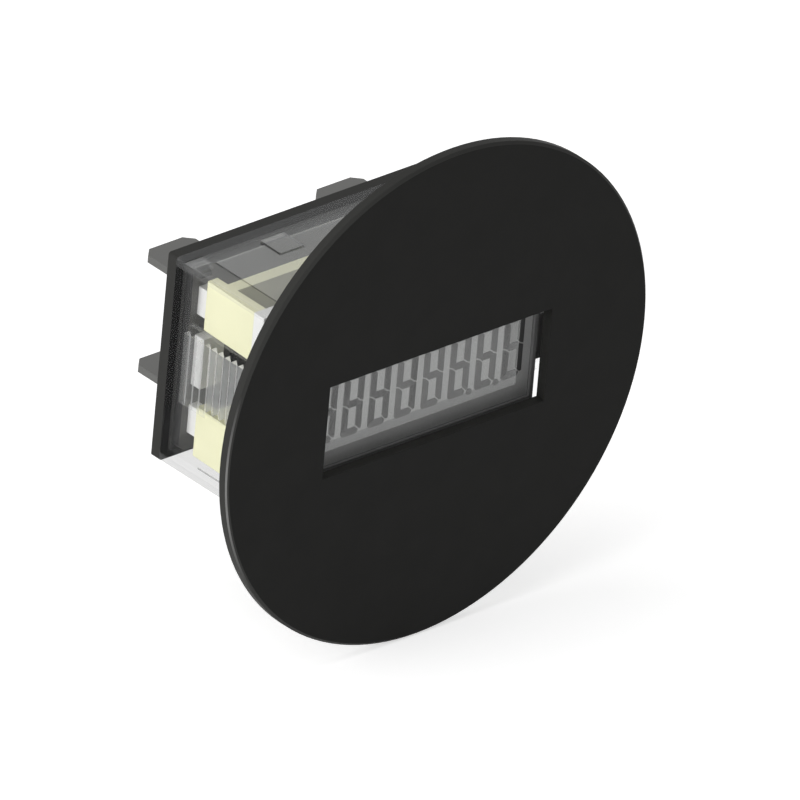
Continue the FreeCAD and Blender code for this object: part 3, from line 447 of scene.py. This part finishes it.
def seen_directly(tree, strength):
    """A strength that counts only for what the camera, a reflection or clear plastic shows."""
    path = tree.nodes.new("ShaderNodeLightPath")
    total = path.outputs["Is Camera Ray"]
    for kind in ("Is Glossy Ray", "Is Transmission Ray"):
        add = tree.nodes.new("ShaderNodeMath")
        add.use_clamp = True
        tree.links.new(total, add.inputs[0])
        tree.links.new(path.outputs[kind], add.inputs[1])
        total = add.outputs["Value"]
    scale = tree.nodes.new("ShaderNodeMath")
    scale.operation = "MULTIPLY"
    scale.inputs[1].default_value = strength
    tree.links.new(total, scale.inputs[0])
    return scale.outputs["Value"]


def make_floor():
    """Plain pale floor under the lowest point, white where the camera sees it directly."""
    low = cad_box[0][2]
    mesh = bpy.data.meshes.new("floor")
    corners = [(-FLOOR_HALF, -FLOOR_HALF, low), (FLOOR_HALF, -FLOOR_HALF, low),
               (FLOOR_HALF, FLOOR_HALF, low), (-FLOOR_HALF, FLOOR_HALF, low)]
    mesh.from_pydata(corners, [], [(0, 1, 2, 3)])
    floor = bpy.data.objects.new("floor", mesh)
    bpy.context.collection.objects.link(floor)
    material, tree, shader = new_material("floor_white")
    shader.inputs["Base Color"].default_value = (*FLOOR_COLOUR, 1)
    shader.inputs["Roughness"].default_value = 0.9
    shader.inputs["Emission Color"].default_value = (1, 1, 1, 1)
    tree.links.new(seen_directly(tree, FLOOR_LIFT), shader.inputs["Emission Strength"])
    floor.data.materials.append(material)


def make_world():
    """Even surroundings that light the object softly and show as a white background."""
    world = bpy.data.worlds.new("studio")
    bpy.context.scene.world = world
    world.use_nodes = True
    tree = world.node_tree
    background = tree.nodes["Background"]
    background.inputs["Color"].default_value = (1, 1, 1, 1)
    total = tree.nodes.new("ShaderNodeMath")
    total.inputs[0].default_value = WORLD_STRENGTH
    tree.links.new(seen_directly(tree, 1 - WORLD_STRENGTH), total.inputs[1])
    tree.links.new(total.outputs["Value"], background.inputs["Strength"])


def make_lamp(name, direction, power):
    """A square soft lamp that shines on the object from a direction."""
    data = bpy.data.lights.new(name, "AREA")
    data.energy = power
    data.size = LAMP_SIZE
    lamp = bpy.data.objects.new(name, data)
    bpy.context.collection.objects.link(lamp)
    lamp.location = Vector(direction).normalized() * LAMP_DISTANCE
    lamp.rotation_euler = Vector(direction).to_track_quat("Z", "Y").to_euler()


def make_camera():
    """Camera with a parallel projection at the photograph's angle and framing."""
    scene = bpy.context.scene
    data = bpy.data.cameras.new("camera")
    data.type = "ORTHO"
    data.ortho_scale = PHOTO_SIDE / PHOTO_PIXELS_PER_MM * MM
    camera = bpy.data.objects.new("camera", data)
    scene.collection.objects.link(camera)
    turn = Matrix.Rotation(VIEW_AZIMUTH, 3, "Z")
    turn = turn @ Matrix.Rotation(math.pi / 2 - VIEW_ELEVATION, 3, "X")
    turn = turn @ Matrix.Rotation(VIEW_ROLL, 3, "Z")
    middle = PHOTO_SIDE / 2
    across = (middle - ORIGIN_PIXEL[0]) / PHOTO_PIXELS_PER_MM * MM
    up = (ORIGIN_PIXEL[1] - middle) / PHOTO_PIXELS_PER_MM * MM
    position = turn @ Vector((across, up, CAMERA_DISTANCE))
    camera.matrix_world = Matrix.Translation(position) @ turn.to_4x4()
    scene.camera = camera


def main():
    """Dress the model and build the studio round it."""
    bpy.context.scene.view_settings.view_transform = "Standard"
    dress_nodes()
    make_floor()
    make_world()
    make_lamp("key", (-0.3, 0.15, 1.0), 1.2)
    make_lamp("left", (-1.0, 0.15, 0.25), 2.55)
    make_camera()


main()
